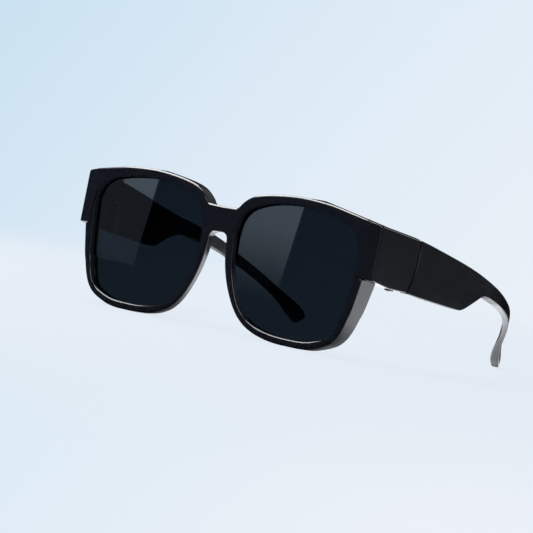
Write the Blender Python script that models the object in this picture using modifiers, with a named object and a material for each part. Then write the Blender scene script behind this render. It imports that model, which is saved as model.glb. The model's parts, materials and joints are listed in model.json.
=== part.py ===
# Fit-over glasses: a moulded front with two tinted lenses, and two temples that fold on metal hinges.
# Metres. X runs across the face, Y from the front to the ear hooks, Z up. The wearer's left is +X.
# The sketches are drawn with the lug's lower front corner at height 0 and depth 0, and an empty then
# leans the whole part so that the rims and the tips of the temples stand on the table.

import math

import bmesh
import bpy
from mathutils import Matrix, Vector

# Lenses
LENS_WIDTH = 0.0578
LENS_HEIGHT = 0.05065
LENS_THICKNESS = 0.0018
LENS_BELOW_LUG = 0.0282
LENS_RECESS = 0.0018
LENS_GROOVE = 0.0009

# Rims, with the shroud behind them that closes round the wearer's own glasses
RIM_WIDTH = 0.0032
RIM_CHAMFER = 0.0008
RIM_INNER_CHAMFER = 0.0009
RIM_LIP = 0.0009
SHROUD_WALL = 0.0018
DEPTH_AT_NOSE = 0.0054
DEPTH_AT_SIDE = 0.0088
NOSE_SPLAY = 0.0020
SIDE_FLARE = 0.0005
TOP_FLARE = 0.0003
FACE_FORWARD = 0.0010
WRAP_SLOPE = 0.034
TILT_SLOPE = 0.035
REAR_SLOPE = 0.034
TILT_BELOW_LUG = 0.0080
NOSE_RELIEF = 0.0016

# Bridge
BRIDGE_GAP = 0.0167
BRIDGE_HEIGHT = 0.0103
BRIDGE_BELOW_LUG_TOP = 0.0041
BRIDGE_VALLEY_RADIUS = 0.0014
BRIDGE_ARCH_RADIUS = 0.0026
BRIDGE_DIP = 0.0003

# Lugs, which wrap round the corners as far as the hinge seams
LUG_REACH = 0.00785
LUG_HEIGHT = 0.0212
LUG_LENGTH = 0.02305
LUG_BEVEL = 0.0005
LUG_FRONT_WALL = 0.0098
SIDE_WALL = 0.0034
SIDE_SPLAY = math.radians(6.8)
BROW_SLOPE = 0.175
BROW_STEP = 0.00003
LUG_TOP_FALL = 0.084
LUG_UNDER_FALL = 0.17
LUG_REAR_FALL = 0.04
LUG_REAR_DROP = 0.0022
SEAM_RADIUS = 0.039
SEAM_HEIGHT = 0.01275
SEAM_GAP = 0.00035

# Temples
TEMPLE_LENGTH = 0.1312
TEMPLE_DROP = 0.0473
TEMPLE_THICKNESS = 0.0034
TEMPLE_EDGE = 0.0004

# Hinges
KNUCKLE_RADIUS = 0.0021
LEAF_THICKNESS = 0.0010
FRONT_LEAF_LENGTH = 0.0075
TEMPLE_LEAF_LENGTH = 0.0125
HINGE_SETBACK = 0.0172
HINGE_BOTTOM = 0.0013
HINGE_HEIGHT = 0.0110
PIN_RADIUS = 0.0007
PIN_HEAD_RADIUS = 0.0017
PIN_HEAD_HEIGHT = 0.0011
PIN_TAIL = 0.0004
SCREW_RADIUS = 0.0006
SCREW_HEAD_RADIUS = 0.0012
SCREW_HEAD_HEIGHT = 0.0005
SCREW_REACH = 0.0018
FRONT_SCREW_DISTANCE = 0.0050
TEMPLE_SCREW_DISTANCE = 0.0098
SLOT_WIDTH = 0.0004
SLOT_DEPTH = 0.0003

# Fits and flats
GAP = 0.0003
REST_FLAT = 0.00025
OVERRUN = 0.002

# Smoothness
SPAN_STEPS = 2
CORNER_STEPS = 4
ROUND_SIDES = 24
SEAM_SIDES = 120
STEEP = 0.7

HALF_WIDTH = BRIDGE_GAP / 2 + LENS_WIDTH + LUG_REACH
AXIS_X = HALF_WIDTH + math.tan(SIDE_SPLAY) * HINGE_SETBACK - (
    SIDE_WALL + GAP + KNUCKLE_RADIUS
) / math.cos(SIDE_SPLAY)
HINGE_AXIS = Vector((AXIS_X, HINGE_SETBACK, -HINGE_BOTTOM))

# Lens outline from the nose side down and round: share of the width, of the height, and of the rim width
LENS_SHARES = (
    (0.000, 0.695, 1.25),
    (0.009, 0.537, 1.20),
    (0.029, 0.419, 1.13),
    (0.060, 0.310, 1.04),
    (0.103, 0.201, 0.88),
    (0.155, 0.122, 0.81),
    (0.226, 0.063, 0.82),
    (0.328, 0.024, 0.88),
    (0.444, 0.004, 0.91),
    (0.565, 0.000, 0.92),
    (0.677, 0.004, 0.92),
    (0.760, 0.022, 0.90),
    (0.857, 0.063, 0.85),
    (0.909, 0.113, 0.80),
    (0.937, 0.186, 0.88),
    (0.954, 0.267, 0.99),
    (0.970, 0.347, 1.10),
    (0.992, 0.557, 1.34),
    (1.000, 0.675, 1.45),
    (0.997, 0.764, 1.50),
    (0.968, 0.849, 1.48),
    (0.933, 0.894, 1.40),
    (0.876, 0.934, 1.38),
    (0.712, 0.977, 1.30),
    (0.487, 1.000, 1.14),
    (0.293, 0.983, 1.14),
    (0.150, 0.938, 1.36),
    (0.074, 0.894, 1.28),
    (0.032, 0.839, 1.15),
    (0.010, 0.780, 1.22),
)
BROW_START_SHARE = 0.78
LUG_START_SHARE = 0.90
RELIEF_END_SHARE = 0.30
KNUCKLE_SHARE = 0.28

# Temple sections: shares of the length and of the drop for the top edge, the same for the lower edge, and
# the share of the thickness
SECTION_SHARES = (
    (0.130, 0.035, 0.130, 0.489, 1.00),
    (0.198, 0.063, 0.198, 0.509, 1.00),
    (0.274, 0.104, 0.274, 0.528, 1.00),
    (0.335, 0.139, 0.345, 0.544, 1.00),
    (0.370, 0.160, 0.385, 0.552, 1.00),
    (0.382, 0.167, 0.399, 0.553, 1.00),
    (0.393, 0.174, 0.410, 0.549, 1.00),
    (0.411, 0.185, 0.428, 0.529, 1.00),
    (0.442, 0.205, 0.456, 0.487, 1.00),
    (0.472, 0.224, 0.480, 0.452, 1.00),
    (0.491, 0.238, 0.499, 0.424, 1.15),
    (0.511, 0.252, 0.513, 0.409, 1.30),
    (0.534, 0.267, 0.529, 0.404, 1.45),
    (0.572, 0.293, 0.559, 0.411, 1.60),
    (0.627, 0.331, 0.603, 0.432, 1.55),
    (0.693, 0.386, 0.660, 0.463, 1.30),
    (0.757, 0.457, 0.718, 0.511, 0.97),
    (0.819, 0.544, 0.774, 0.574, 0.80),
    (0.869, 0.629, 0.825, 0.643, 0.66),
    (0.917, 0.724, 0.874, 0.731, 0.58),
    (0.964, 0.813, 0.918, 0.841, 0.92),
    (0.983, 0.860, 0.949, 0.932, 1.14),
    (0.996, 0.896, 0.966, 0.972, 1.10),
    (1.000, 0.930, 0.974, 0.993, 0.98),
    (0.996, 0.957, 0.976, 0.998, 0.80),
    (0.990, 0.978, 0.979, 1.000, 0.55),
)

# Inward bow of the temple from the straight line of the lug's side: share of the length, then the bow as
# a share of the length
BOW_SHARES = (
    (0.122, 0.000),
    (0.274, 0.000),
    (0.381, 0.000),
    (0.457, 0.006),
    (0.533, 0.020),
    (0.609, 0.042),
    (0.686, 0.070),
    (0.762, 0.102),
    (0.839, 0.155),
    (0.915, 0.222),
    (0.960, 0.255),
    (1.015, 0.288),
)


def new_collection(name):
    made = bpy.data.collections.new(name)
    bpy.context.scene.collection.children.link(made)
    return made


def new_material(name, colour, roughness, metallic=0.0, alpha=1.0):
    made = bpy.data.materials.new(name)
    made.use_nodes = True
    shader = made.node_tree.nodes["Principled BSDF"]
    shader.inputs["Base Color"].default_value = (*colour, 1.0)
    shader.inputs["Roughness"].default_value = roughness
    shader.inputs["Metallic"].default_value = metallic
    shader.inputs["Alpha"].default_value = alpha
    made.diffuse_color = (*colour, alpha)
    return made


def smooth(rows, steps, closed):
    """Points of a Catmull-Rom curve through the rows."""
    count = len(rows)
    spans = count if closed else count - 1
    found = []
    for i in range(spans):
        picks = [i - 1, i, i + 1, i + 2]
        picks = [k % count if closed else min(max(k, 0), count - 1) for k in picks]
        a, b, c, d = (Vector(rows[k]) for k in picks)
        square = a * 2 - b * 5 + c * 4 - d
        cube = b * 3 - a - c * 3 + d
        for step in range(steps):
            t = step / steps
            found.append(b + ((c - a) * t + square * t**2 + cube * t**3) / 2)
    if not closed:
        found.append(Vector(rows[-1]))
    return found


def value_at(points, place):
    """Second coordinate of a rising line of points, read at a value of the first."""
    for a, b in zip(points, points[1:]):
        if place <= b[0]:
            break
    return a[1] + (b[1] - a[1]) * (place - a[0]) / (b[0] - a[0])


def normals_of(points):
    """Outward normals of a closed outline that runs anticlockwise."""
    found = []
    for i, point in enumerate(points):
        before = (point - points[i - 1]).normalized()
        after = (points[(i + 1) % len(points)] - point).normalized()
        along = (before + after).normalized()
        spread = max(along.dot(after), math.cos(math.radians(60)))
        found.append(Vector((along.y, -along.x)) / spread)
    return found


def shifted(points, distances):
    return [p + n * d for p, n, d in zip(points, normals_of(points), distances)]


def lens_line():
    """The visible edge of the left lens, and the rim's width beside each of its points."""
    rows = smooth(LENS_SHARES, SPAN_STEPS, True)
    line = [
        Vector((BRIDGE_GAP / 2 + row[0] * LENS_WIDTH, row[1] * LENS_HEIGHT - LENS_BELOW_LUG))
        for row in rows
    ]
    return line, [row[2] * RIM_WIDTH for row in rows]


def arc_corner(before, corner, after, radius):
    """The points of a round of this radius between two straight runs."""
    start = (before - corner).normalized()
    end = (after - corner).normalized()
    half = start.angle(end) / 2
    middle = corner + (start + end).normalized() * radius / math.sin(half)
    first = corner + start * radius / math.tan(half) - middle
    last = corner + end * radius / math.tan(half) - middle
    turn = first.angle_signed(last)
    return [
        middle + Matrix.Rotation(-turn * step / CORNER_STEPS, 2) @ first
        for step in range(CORNER_STEPS + 1)
    ]


def rounded(path):
    """The outline with each corner that has a radius turned into an arc."""
    found = []
    for i, (point, radius) in enumerate(path):
        if not radius:
            found.append(point)
            continue
        found += arc_corner(path[i - 1][0], point, path[(i + 1) % len(path)][0], radius)
    return found


def brow_height(x):
    """Height of the lug's top plane at the front, where the brow's chamfer ends."""
    inward = HALF_WIDTH - x
    depth = face_depth(x, LUG_HEIGHT + BROW_SLOPE * inward, TILT_SLOPE) + RIM_CHAMFER
    return LUG_HEIGHT + BROW_SLOPE * inward - LUG_TOP_FALL * depth


def half_front_line():
    """Outer outline of the left half of the front, seen from the front, a little past the middle plane."""
    line, widths = lens_line()
    rim = shifted(line, widths)
    bridge_top = LUG_HEIGHT - BRIDGE_BELOW_LUG_TOP
    arch = bridge_top - BRIDGE_HEIGHT
    brow_start = BRIDGE_GAP / 2 + LENS_WIDTH * BROW_START_SHARE
    middle = BRIDGE_GAP / 2 + LENS_WIDTH / 2
    lug_inside = HALF_WIDTH - LUG_REACH + RIM_INNER_CHAMFER + RIM_CHAMFER
    nose = [p for p in rim if p.x < middle and p.y < arch]
    lower = [p for p in rim if p.y < (arch - BRIDGE_ARCH_RADIUS if p.x < middle else 0)]
    upper = [
        p for p in rim if p.x < brow_start and p.y > bridge_top + BRIDGE_VALLEY_RADIUS / 2
    ]
    under_bridge = Vector((nose[0].x, arch))
    valley = Vector((upper[-1].x - (upper[-1].y - bridge_top), bridge_top))
    path = [(Vector((-OVERRUN, arch)), 0), (under_bridge, BRIDGE_ARCH_RADIUS)]
    path += [(p, 0) for p in lower]
    path += [
        (Vector((lug_inside, LUG_BEVEL * 2)), 0),
        (Vector((lug_inside, brow_height(lug_inside))), 0),
        (Vector((brow_start, brow_height(brow_start))), 0),
    ]
    path += [(p, 0) for p in upper]
    path += [(valley, BRIDGE_VALLEY_RADIUS), (Vector((-OVERRUN, bridge_top - BRIDGE_DIP)), 0)]
    return rounded(path)


def face_depth(x, z, slope):
    """Depth of the rims' front plane, which turns back towards the side and leans by the slope."""
    return -FACE_FORWARD - WRAP_SLOPE * (HALF_WIDTH - x) - slope * (z + TILT_BELOW_LUG)


def warp(x, y, z, slope=TILT_SLOPE):
    return Vector((x, y + face_depth(x, z, slope), z))


def lean_of(normals):
    """How far the shroud's wall leans outward over its depth, for each outline normal."""
    leans = []
    for n in normals:
        way = n.normalized()
        nose = max(-way.x, 0)
        top = max(way.y, 0)
        rising = min(top * 2, 1)
        splay = nose**4 * (1 - rising) + math.sqrt(nose) * top * rising
        flare = SIDE_FLARE * max(way.x, 0) + TOP_FLARE * top * (1 - nose)
        leans.append(flare - NOSE_SPLAY * splay)
    return leans


def ring(points, depth):
    return [warp(p.x, depth, p.y) for p in points]


def loft(rings):
    """A closed skin over rings of the same number of points, with a face at each end."""
    made = bmesh.new()
    rows = [[made.verts.new(p) for p in points] for points in rings]
    for one, two in zip(rows, rows[1:]):
        for i in range(len(one)):
            k = (i + 1) % len(one)
            made.faces.new((one[i], one[k], two[k], two[i]))
    made.faces.new(rows[0])
    made.faces.new(rows[-1])
    bmesh.ops.recalc_face_normals(made, faces=made.faces)
    return made


def prism(points, low, high):
    """A plan outline pulled up from one height to another."""
    return loft([[Vector((p[0], p[1], z)) for p in points] for z in (low, high)])


def clip(made, point, normal):
    """Cuts off what lies beyond a plane and closes the cut."""
    geometry = made.verts[:] + made.edges[:] + made.faces[:]
    cut = bmesh.ops.bisect_plane(
        made, geom=geometry, plane_co=point, plane_no=normal, clear_outer=True
    )
    edges = [item for item in cut["geom_cut"] if isinstance(item, bmesh.types.BMEdge)]
    bmesh.ops.holes_fill(made, edges=edges)
    bmesh.ops.recalc_face_normals(made, faces=made.faces)


def rod(radius, low, high, sides=ROUND_SIDES):
    """A cylinder along Z between two heights."""
    made = bmesh.new()
    bmesh.ops.create_cone(
        made, cap_ends=True, segments=sides, radius1=radius, radius2=radius, depth=high - low
    )
    bmesh.ops.translate(made, vec=(0, 0, (low + high) / 2), verts=made.verts)
    return made


def block(low, high):
    made = bmesh.new()
    bmesh.ops.create_cube(made, size=1)
    size = high - low
    bmesh.ops.scale(made, vec=size, verts=made.verts)
    bmesh.ops.translate(made, vec=(low + high) / 2, verts=made.verts)
    return made


def turned(name, profile):
    """A profile of radius and height, spun about Z."""
    mesh = bpy.data.meshes.new(name)
    edges = [(i, i + 1) for i in range(len(profile) - 1)]
    mesh.from_pydata([(radius, 0, height) for radius, height in profile], edges, [])
    return mesh


def add_screw_modifier(item):
    spin = item.modifiers.new("Turn", "SCREW")
    spin.steps = ROUND_SIDES
    spin.render_steps = ROUND_SIDES
    spin.use_merge_vertices = True
    spin.merge_threshold = GAP / 100
    spin.use_smooth_shade = False


def place(name, made, collection, material=None, parent=None, side=1):
    """An object from a bmesh. A side of -1 mirrors the left-hand shape to the right."""
    if side < 0:
        bmesh.ops.scale(made, vec=(-1, 1, 1), verts=made.verts)
        bmesh.ops.reverse_faces(made, faces=made.faces)
    mesh = bpy.data.meshes.new(name)
    made.to_mesh(mesh)
    made.free()
    return place_mesh(name, mesh, collection, material, parent)


def place_mesh(name, mesh, collection, material=None, parent=None):
    item = bpy.data.objects.new(name, mesh)
    collection.objects.link(item)
    item.parent = parent
    if material:
        mesh.materials.append(material)
    else:
        item.hide_render = True
        item.display_type = "WIRE"
    return item


def combine(item, other, operation):
    step = item.modifiers.new(other.name, "BOOLEAN")
    step.operation = operation
    step.object = other
    step.solver = "EXACT"


def empty(name, parent=None, location=(0, 0, 0)):
    made = bpy.data.objects.new(name, None)
    bpy.context.scene.collection.objects.link(made)
    made.parent = parent
    made.location = location
    return made


def rim_body():
    """The left half of the moulded front before the lens is cut out."""
    outline = half_front_line()
    count = len(outline)
    normals = normals_of(outline)
    splay = lean_of(normals)
    deep = DEPTH_AT_SIDE + OVERRUN * 2
    made = loft(
        [
            ring(shifted(outline, [-RIM_CHAMFER] * count), 0),
            ring(outline, RIM_CHAMFER),
            ring(shifted(outline, [d * deep / DEPTH_AT_SIDE for d in splay]), deep),
        ]
    )
    clip(made, (HALF_WIDTH, 0, LUG_HEIGHT - BROW_STEP), (BROW_SLOPE, LUG_TOP_FALL, 1))
    return made


def lens_hollow():
    """The opening of the left rim: bevelled mouth, lens groove, lip, and the hollow of the shroud."""
    line, widths = lens_line()
    count = len(line)
    normals = normals_of(line)
    groove_end = LENS_RECESS + LENS_THICKNESS + GAP * 2
    lip_end = groove_end + RIM_LIP
    deep = DEPTH_AT_SIDE + OVERRUN * 3
    hollow = [w - SHROUD_WALL for w in widths]
    splay = [lean / DEPTH_AT_SIDE for lean in lean_of(normals)]

    def at(distances, depth):
        return ring(shifted(line, distances), depth)

    return loft(
        [
            at([RIM_INNER_CHAMFER] * count, -OVERRUN),
            at([RIM_INNER_CHAMFER] * count, 0),
            at([0] * count, RIM_INNER_CHAMFER),
            at([0] * count, LENS_RECESS),
            at([LENS_GROOVE] * count, LENS_RECESS),
            at([LENS_GROOVE] * count, groove_end),
            at([0] * count, groove_end),
            at([0] * count, lip_end),
            at([h + s * lip_end for h, s in zip(hollow, splay)], lip_end),
            at([h + s * deep for h, s in zip(hollow, splay)], deep),
        ]
    )


def rear_cut():
    """What lies behind the shroud, which is shallow beside the nose and deep at the side."""
    far = DEPTH_AT_SIDE + OVERRUN * 4
    side = HALF_WIDTH + OVERRUN * 2
    relief_end = BRIDGE_GAP / 2 + LENS_WIDTH * RELIEF_END_SHARE
    way = (relief_end - BRIDGE_GAP / 2) / (side - BRIDGE_GAP / 2)
    bridge_top = LUG_HEIGHT - BRIDGE_BELOW_LUG_TOP
    rings = []
    for height, relief in (
        (-LENS_BELOW_LUG - LENS_HEIGHT, NOSE_RELIEF),
        (bridge_top - BRIDGE_HEIGHT, NOSE_RELIEF),
        (bridge_top, 0),
        (LUG_HEIGHT + LENS_HEIGHT, 0),
    ):
        plan = (
            (-OVERRUN * 2, DEPTH_AT_NOSE - relief),
            (BRIDGE_GAP / 2, DEPTH_AT_NOSE - relief),
            (relief_end, DEPTH_AT_NOSE + (DEPTH_AT_SIDE - DEPTH_AT_NOSE) * way),
            (side, DEPTH_AT_SIDE),
            (side, far),
            (-OVERRUN * 2, far),
        )
        rings.append([warp(x, y, height, -REAR_SLOPE) for x, y in plan])
    return loft(rings)


def lug_body():
    """The left lug: a front wall beside the lens and a side wall that runs back past the seam."""
    start = BRIDGE_GAP / 2 + LENS_WIDTH * LUG_START_SHARE
    knee = HALF_WIDTH - LUG_REACH + RIM_INNER_CHAMFER
    flush = LUG_HEIGHT + OVERRUN
    front = face_depth(start, flush, TILT_SLOPE)
    inside = front + LUG_FRONT_WALL
    end = LUG_LENGTH + OVERRUN
    spread = math.tan(SIDE_SPLAY)
    wall = SIDE_WALL / math.cos(SIDE_SPLAY)
    corner = Vector((HALF_WIDTH, 0))
    inner = Vector((HALF_WIDTH - wall + spread * inside, inside))
    path = [
        (Vector((start, front)), 0),
        (Vector((knee, face_depth(knee, flush, TILT_SLOPE))), 0),
        (corner, LUG_BEVEL * 2),
        (Vector((HALF_WIDTH + spread * end, end)), 0),
        (Vector((HALF_WIDTH - wall + spread * end, end)), 0),
        (inner, LUG_BEVEL * 2),
        (Vector((start, inside)), 0),
    ]
    made = prism(rounded(path), -LUG_HEIGHT, LUG_HEIGHT * 2)
    clip(made, (HALF_WIDTH, 0, LUG_HEIGHT), (BROW_SLOPE, LUG_TOP_FALL, 1))
    clip(made, (HALF_WIDTH, 0, 0), (0, -LUG_UNDER_FALL, -1))
    clip(made, (HALF_WIDTH, LUG_LENGTH, -LUG_REAR_DROP), (0, -LUG_REAR_FALL, -1))
    top_edges = [
        e for e in made.edges
        if any(f.normal.z > STEEP for f in e.link_faces)
        and any(f.normal.y < -STEEP or f.normal.x > STEEP for f in e.link_faces)
    ]
    bmesh.ops.bevel(
        made, geom=top_edges, offset=RIM_CHAMFER, segments=1, profile=0.5, affect="EDGES", material=-1
    )
    return made


def seam_drum(extra):
    """A drum across the side whose rear is the curved seam between lug and temple."""
    made = rod(SEAM_RADIUS + extra, 0, HALF_WIDTH, SEAM_SIDES)
    bmesh.ops.rotate(made, matrix=Matrix.Rotation(math.radians(90), 3, "Y"), verts=made.verts)
    centre = Vector((HALF_WIDTH / 2, LUG_LENGTH - SEAM_RADIUS, SEAM_HEIGHT))
    bmesh.ops.translate(made, vec=centre, verts=made.verts)
    return made


def temple_body():
    """The left temple as a row of upright sections, each with its four edges rounded."""
    bows = smooth(BOW_SHARES, SPAN_STEPS, False)
    straight = math.tan(SIDE_SPLAY)
    plan = [
        (p.x * TEMPLE_LENGTH, HALF_WIDTH + straight * p.x * TEMPLE_LENGTH - p.y * TEMPLE_LENGTH)
        for p in bows
    ]
    rings = []
    for top_y, top_z, low_y, low_z, thick in SECTION_SHARES:
        top = Vector((top_y * TEMPLE_LENGTH, LUG_HEIGHT - top_z * TEMPLE_DROP))
        low = Vector((low_y * TEMPLE_LENGTH, LUG_HEIGHT - low_z * TEMPLE_DROP))
        thickness = TEMPLE_THICKNESS * thick
        edge = TEMPLE_EDGE / (top - low).length
        soft = edge * (1 - math.sin(math.radians(45)))
        inset = TEMPLE_EDGE * (1 - math.sin(math.radians(45)))
        corners = (
            (edge, 0),
            (soft, inset),
            (0, TEMPLE_EDGE),
            (0, thickness - TEMPLE_EDGE),
            (soft, thickness - inset),
            (edge, thickness),
            (1 - edge, thickness),
            (1 - soft, thickness - inset),
            (1, thickness - TEMPLE_EDGE),
            (1, TEMPLE_EDGE),
            (1 - soft, inset),
            (1 - edge, 0),
        )
        section = []
        for share, inward in corners:
            point = low.lerp(top, share)
            rise = value_at(plan, point.x + OVERRUN) - value_at(plan, point.x - OVERRUN)
            slope = rise / (OVERRUN * 2)
            x = value_at(plan, point.x) - inward * math.sqrt(1 + slope**2)
            section.append(Vector((x, point.x, point.y)))
        rings.append(section)
    return loft(rings)


def leaf_body(direction, length):
    """A hinge leaf about the hinge axis: a plate on the wall, +Y or -Y of the axis, and the full barrel."""
    plate = KNUCKLE_RADIUS - LEAF_THICKNESS
    start = math.acos(plate / KNUCKLE_RADIUS)
    sweep = math.tau - start
    plan = [(KNUCKLE_RADIUS, length * direction), (plate, length * direction)]
    for step in range(ROUND_SIDES + 1):
        angle = start + sweep * step / ROUND_SIDES
        plan.append(
            (KNUCKLE_RADIUS * math.cos(angle), KNUCKLE_RADIUS * math.sin(angle) * direction)
        )
    return prism(plan, 0, HINGE_HEIGHT)


HINGE_TURN = Matrix.Rotation(-SIDE_SPLAY, 4, "Z")
HINGE_PLACE = Matrix.Translation(HINGE_AXIS) @ HINGE_TURN
KNUCKLE_SPLIT = HINGE_HEIGHT * KNUCKLE_SHARE


def hinge_tool(name, made, side):
    """A cutter drawn about the hinge axis, moved to the hinge on that side."""
    bmesh.ops.transform(made, matrix=HINGE_PLACE, verts=made.verts)
    return place(name, made, tools, parent=frame_axes, side=side)


def screw_rod(radius, start, end, direction, distance, height):
    """A rod square to the wall, from one depth to another, at a leaf screw's place."""
    made = rod(radius, start, end)
    bmesh.ops.rotate(made, matrix=Matrix.Rotation(math.radians(90), 3, "Y"), verts=made.verts)
    bmesh.ops.translate(made, vec=(0, distance * direction, height), verts=made.verts)
    return made


def screw_heights():
    return (("lower", KNUCKLE_SPLIT), ("upper", HINGE_HEIGHT - KNUCKLE_SPLIT))


def make_leaf(name, side, direction, length, distance, parent):
    made = leaf_body(direction, length)
    bmesh.ops.transform(made, matrix=HINGE_PLACE, verts=made.verts)
    leaf = place(name, made, glasses, steel, parent, side)
    clear = KNUCKLE_RADIUS + GAP
    if direction < 0:
        zones = ((KNUCKLE_SPLIT, HINGE_HEIGHT - KNUCKLE_SPLIT),)
    else:
        zones = (
            (-OVERRUN, KNUCKLE_SPLIT + GAP),
            (HINGE_HEIGHT - KNUCKLE_SPLIT - GAP, HINGE_HEIGHT + OVERRUN),
        )
    for k, (low, high) in enumerate(zones):
        combine(leaf, hinge_tool(f"{name}_room_{k}", rod(clear, low, high), side), "DIFFERENCE")
    bore = rod(PIN_RADIUS + GAP, -OVERRUN, HINGE_HEIGHT + OVERRUN)
    combine(leaf, hinge_tool(f"{name}_bore", bore, side), "DIFFERENCE")
    for level, height in screw_heights():
        hole = screw_rod(SCREW_RADIUS + GAP, 0, KNUCKLE_RADIUS + OVERRUN, direction, distance, height)
        combine(leaf, hinge_tool(f"{name}_hole_{level}", hole, side), "DIFFERENCE")
    return leaf


def wall_hole(name, side, direction, distance, height):
    end = KNUCKLE_RADIUS + GAP * 2 + SCREW_REACH
    hole = screw_rod(SCREW_RADIUS + GAP, KNUCKLE_RADIUS - GAP, end, direction, distance, height)
    return hinge_tool(name, hole, side)


def make_screw(name, side, profile, matrix, parent, offset=(0, 0, 0)):
    """A slotted screw turned about Z with its head up, then moved to its place."""
    slot_at = profile[0][1]
    slot_radius = profile[2][0]
    item = place_mesh(name, turned(name, profile), glasses, steel, parent)
    add_screw_modifier(item)
    low = Vector((-slot_radius - OVERRUN, -SLOT_WIDTH / 2, slot_at - SLOT_DEPTH))
    high = Vector((slot_radius + OVERRUN, SLOT_WIDTH / 2, slot_at + OVERRUN))
    slot = place(f"{name}_slot", block(low, high), tools, parent=item)
    combine(item, slot, "DIFFERENCE")
    mirror = Matrix.Diagonal((side, 1, 1, 1))
    item.matrix_local = Matrix.Translation(offset) @ mirror @ matrix @ mirror
    return item


def screw_profile(radius, reach, head_radius, head_height):
    """Radius and height down the outside, from the top of the head to the end of the shank."""
    chamfer = radius / 3
    return (
        (0, head_height),
        (head_radius - chamfer, head_height),
        (head_radius, head_height - chamfer),
        (head_radius, 0),
        (radius, 0),
        (radius, -reach + chamfer),
        (radius - chamfer, -reach),
        (0, -reach),
    )


def make_hinge(side_name, side, hinge_empty, lean_parent):
    """Both leaves, the pivot screw and the leaf screws of one side."""
    make_leaf(
        f"{side_name}_front_hinge_leaf", side, -1, FRONT_LEAF_LENGTH, FRONT_SCREW_DISTANCE, lean_parent
    )
    leaf = make_leaf(
        f"{side_name}_temple_hinge_leaf", side, 1, TEMPLE_LEAF_LENGTH, TEMPLE_SCREW_DISTANCE, hinge_empty
    )
    leaf.location = -hinge_empty.location
    pin = screw_profile(PIN_RADIUS, HINGE_HEIGHT + GAP + PIN_TAIL, PIN_HEAD_RADIUS, PIN_HEAD_HEIGHT)
    down = Matrix.Rotation(math.radians(180), 4, "X")
    matrix = HINGE_PLACE @ Matrix.Translation((0, 0, -GAP)) @ down
    make_screw(f"{side_name}_hinge_screw", side, pin, matrix, lean_parent)
    reach = GAP + LEAF_THICKNESS + GAP + SCREW_REACH
    small = screw_profile(SCREW_RADIUS, reach, SCREW_HEAD_RADIUS, SCREW_HEAD_HEIGHT)
    seat = KNUCKLE_RADIUS - LEAF_THICKNESS - GAP
    inward = Matrix.Rotation(math.radians(-90), 4, "Y")
    for half, direction, distance, parent in (
        ("front", -1, FRONT_SCREW_DISTANCE, lean_parent),
        ("temple", 1, TEMPLE_SCREW_DISTANCE, hinge_empty),
    ):
        for level, height in screw_heights():
            spot = Matrix.Translation((seat, distance * direction, height))
            matrix = HINGE_PLACE @ spot @ inward
            name = f"{side_name}_{half}_leaf_screw_{level}"
            offset = -hinge_empty.location if parent is hinge_empty else Vector()
            make_screw(name, side, small, matrix, parent, offset)


def make_front():
    front = place("front_frame", rim_body(), glasses, black, frame_axes)
    combine(front, place("rear_cut", rear_cut(), tools, parent=frame_axes), "DIFFERENCE")
    lug = place("lug_block", lug_body(), tools, parent=frame_axes)
    soften = lug.modifiers.new("Edges", "BEVEL")
    soften.width = LUG_BEVEL
    soften.segments = 2
    soften.limit_method = "ANGLE"
    soften.angle_limit = math.radians(60)
    combine(lug, place("lug_end", seam_drum(0), tools, parent=frame_axes), "INTERSECT")
    combine(front, lug, "UNION")
    combine(front, place("lens_hollow", lens_hollow(), tools, parent=frame_axes), "DIFFERENCE")
    for level, height in screw_heights():
        hole = wall_hole(f"lug_hole_{level}", 1, -1, FRONT_SCREW_DISTANCE, height)
        combine(front, hole, "DIFFERENCE")
    mirror = front.modifiers.new("Right half", "MIRROR")
    mirror.use_bisect_axis[0] = True
    mirror.use_clip = True
    mirror.merge_threshold = GAP / 100
    return front


def make_lens(name, side):
    line, _ = lens_line()
    count = len(line)
    edge = shifted(line, [LENS_GROOVE - GAP] * count)
    start = LENS_RECESS + GAP
    made = loft([ring(edge, start), ring(edge, start + LENS_THICKNESS)])
    return place(name, made, glasses, tint, frame_axes, side)


def make_temple(name, side, hinge_empty):
    temple = place(name, temple_body(), glasses, black, hinge_empty, side)
    temple.location = -hinge_empty.location
    seam = place(f"{name}_seam", seam_drum(SEAM_GAP), tools, parent=frame_axes, side=side)
    combine(temple, seam, "DIFFERENCE")
    for level, height in screw_heights():
        hole = wall_hole(f"{name}_hole_{level}", side, 1, TEMPLE_SCREW_DISTANCE, height)
        combine(temple, hole, "DIFFERENCE")
    return temple


def world_points(items):
    bpy.context.view_layer.update()
    graph = bpy.context.evaluated_depsgraph_get()
    found = []
    for item in items:
        shown = item.evaluated_get(graph)
        mesh = shown.to_mesh()
        found += [shown.matrix_world @ v.co for v in mesh.vertices]
        shown.to_mesh_clear()
    return found


def stand_on_table(front, temples):
    """Leans the part until rims and tips touch one level plane, and puts that plane at height 0."""
    fore = world_points([front])
    aft = world_points(temples)
    slope = 0
    for _ in range(ROUND_SIDES):
        low_front = min(fore, key=lambda p: p.z - slope * p.y)
        low_rear = min(aft, key=lambda p: p.z - slope * p.y)
        slope = (low_rear.z - low_front.z) / (low_rear.y - low_front.y)
    frame_axes.rotation_euler.x = -math.atan(slope)
    points = world_points([front, *temples])
    lengths = [p.y for p in points]
    lowest = min(p.z for p in points)
    frame_axes.location = (0, -(min(lengths) + max(lengths)) / 2, -lowest - REST_FLAT)
    reach = HALF_WIDTH + TEMPLE_LENGTH
    table = block(Vector((-reach, -reach, -OVERRUN * 2)), Vector((reach, reach, 0)))
    table = place("table", table, tools)
    for item in (front, *temples):
        combine(item, table, "DIFFERENCE")


for old in list(bpy.data.objects):
    bpy.data.objects.remove(old, do_unlink=True)

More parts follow.
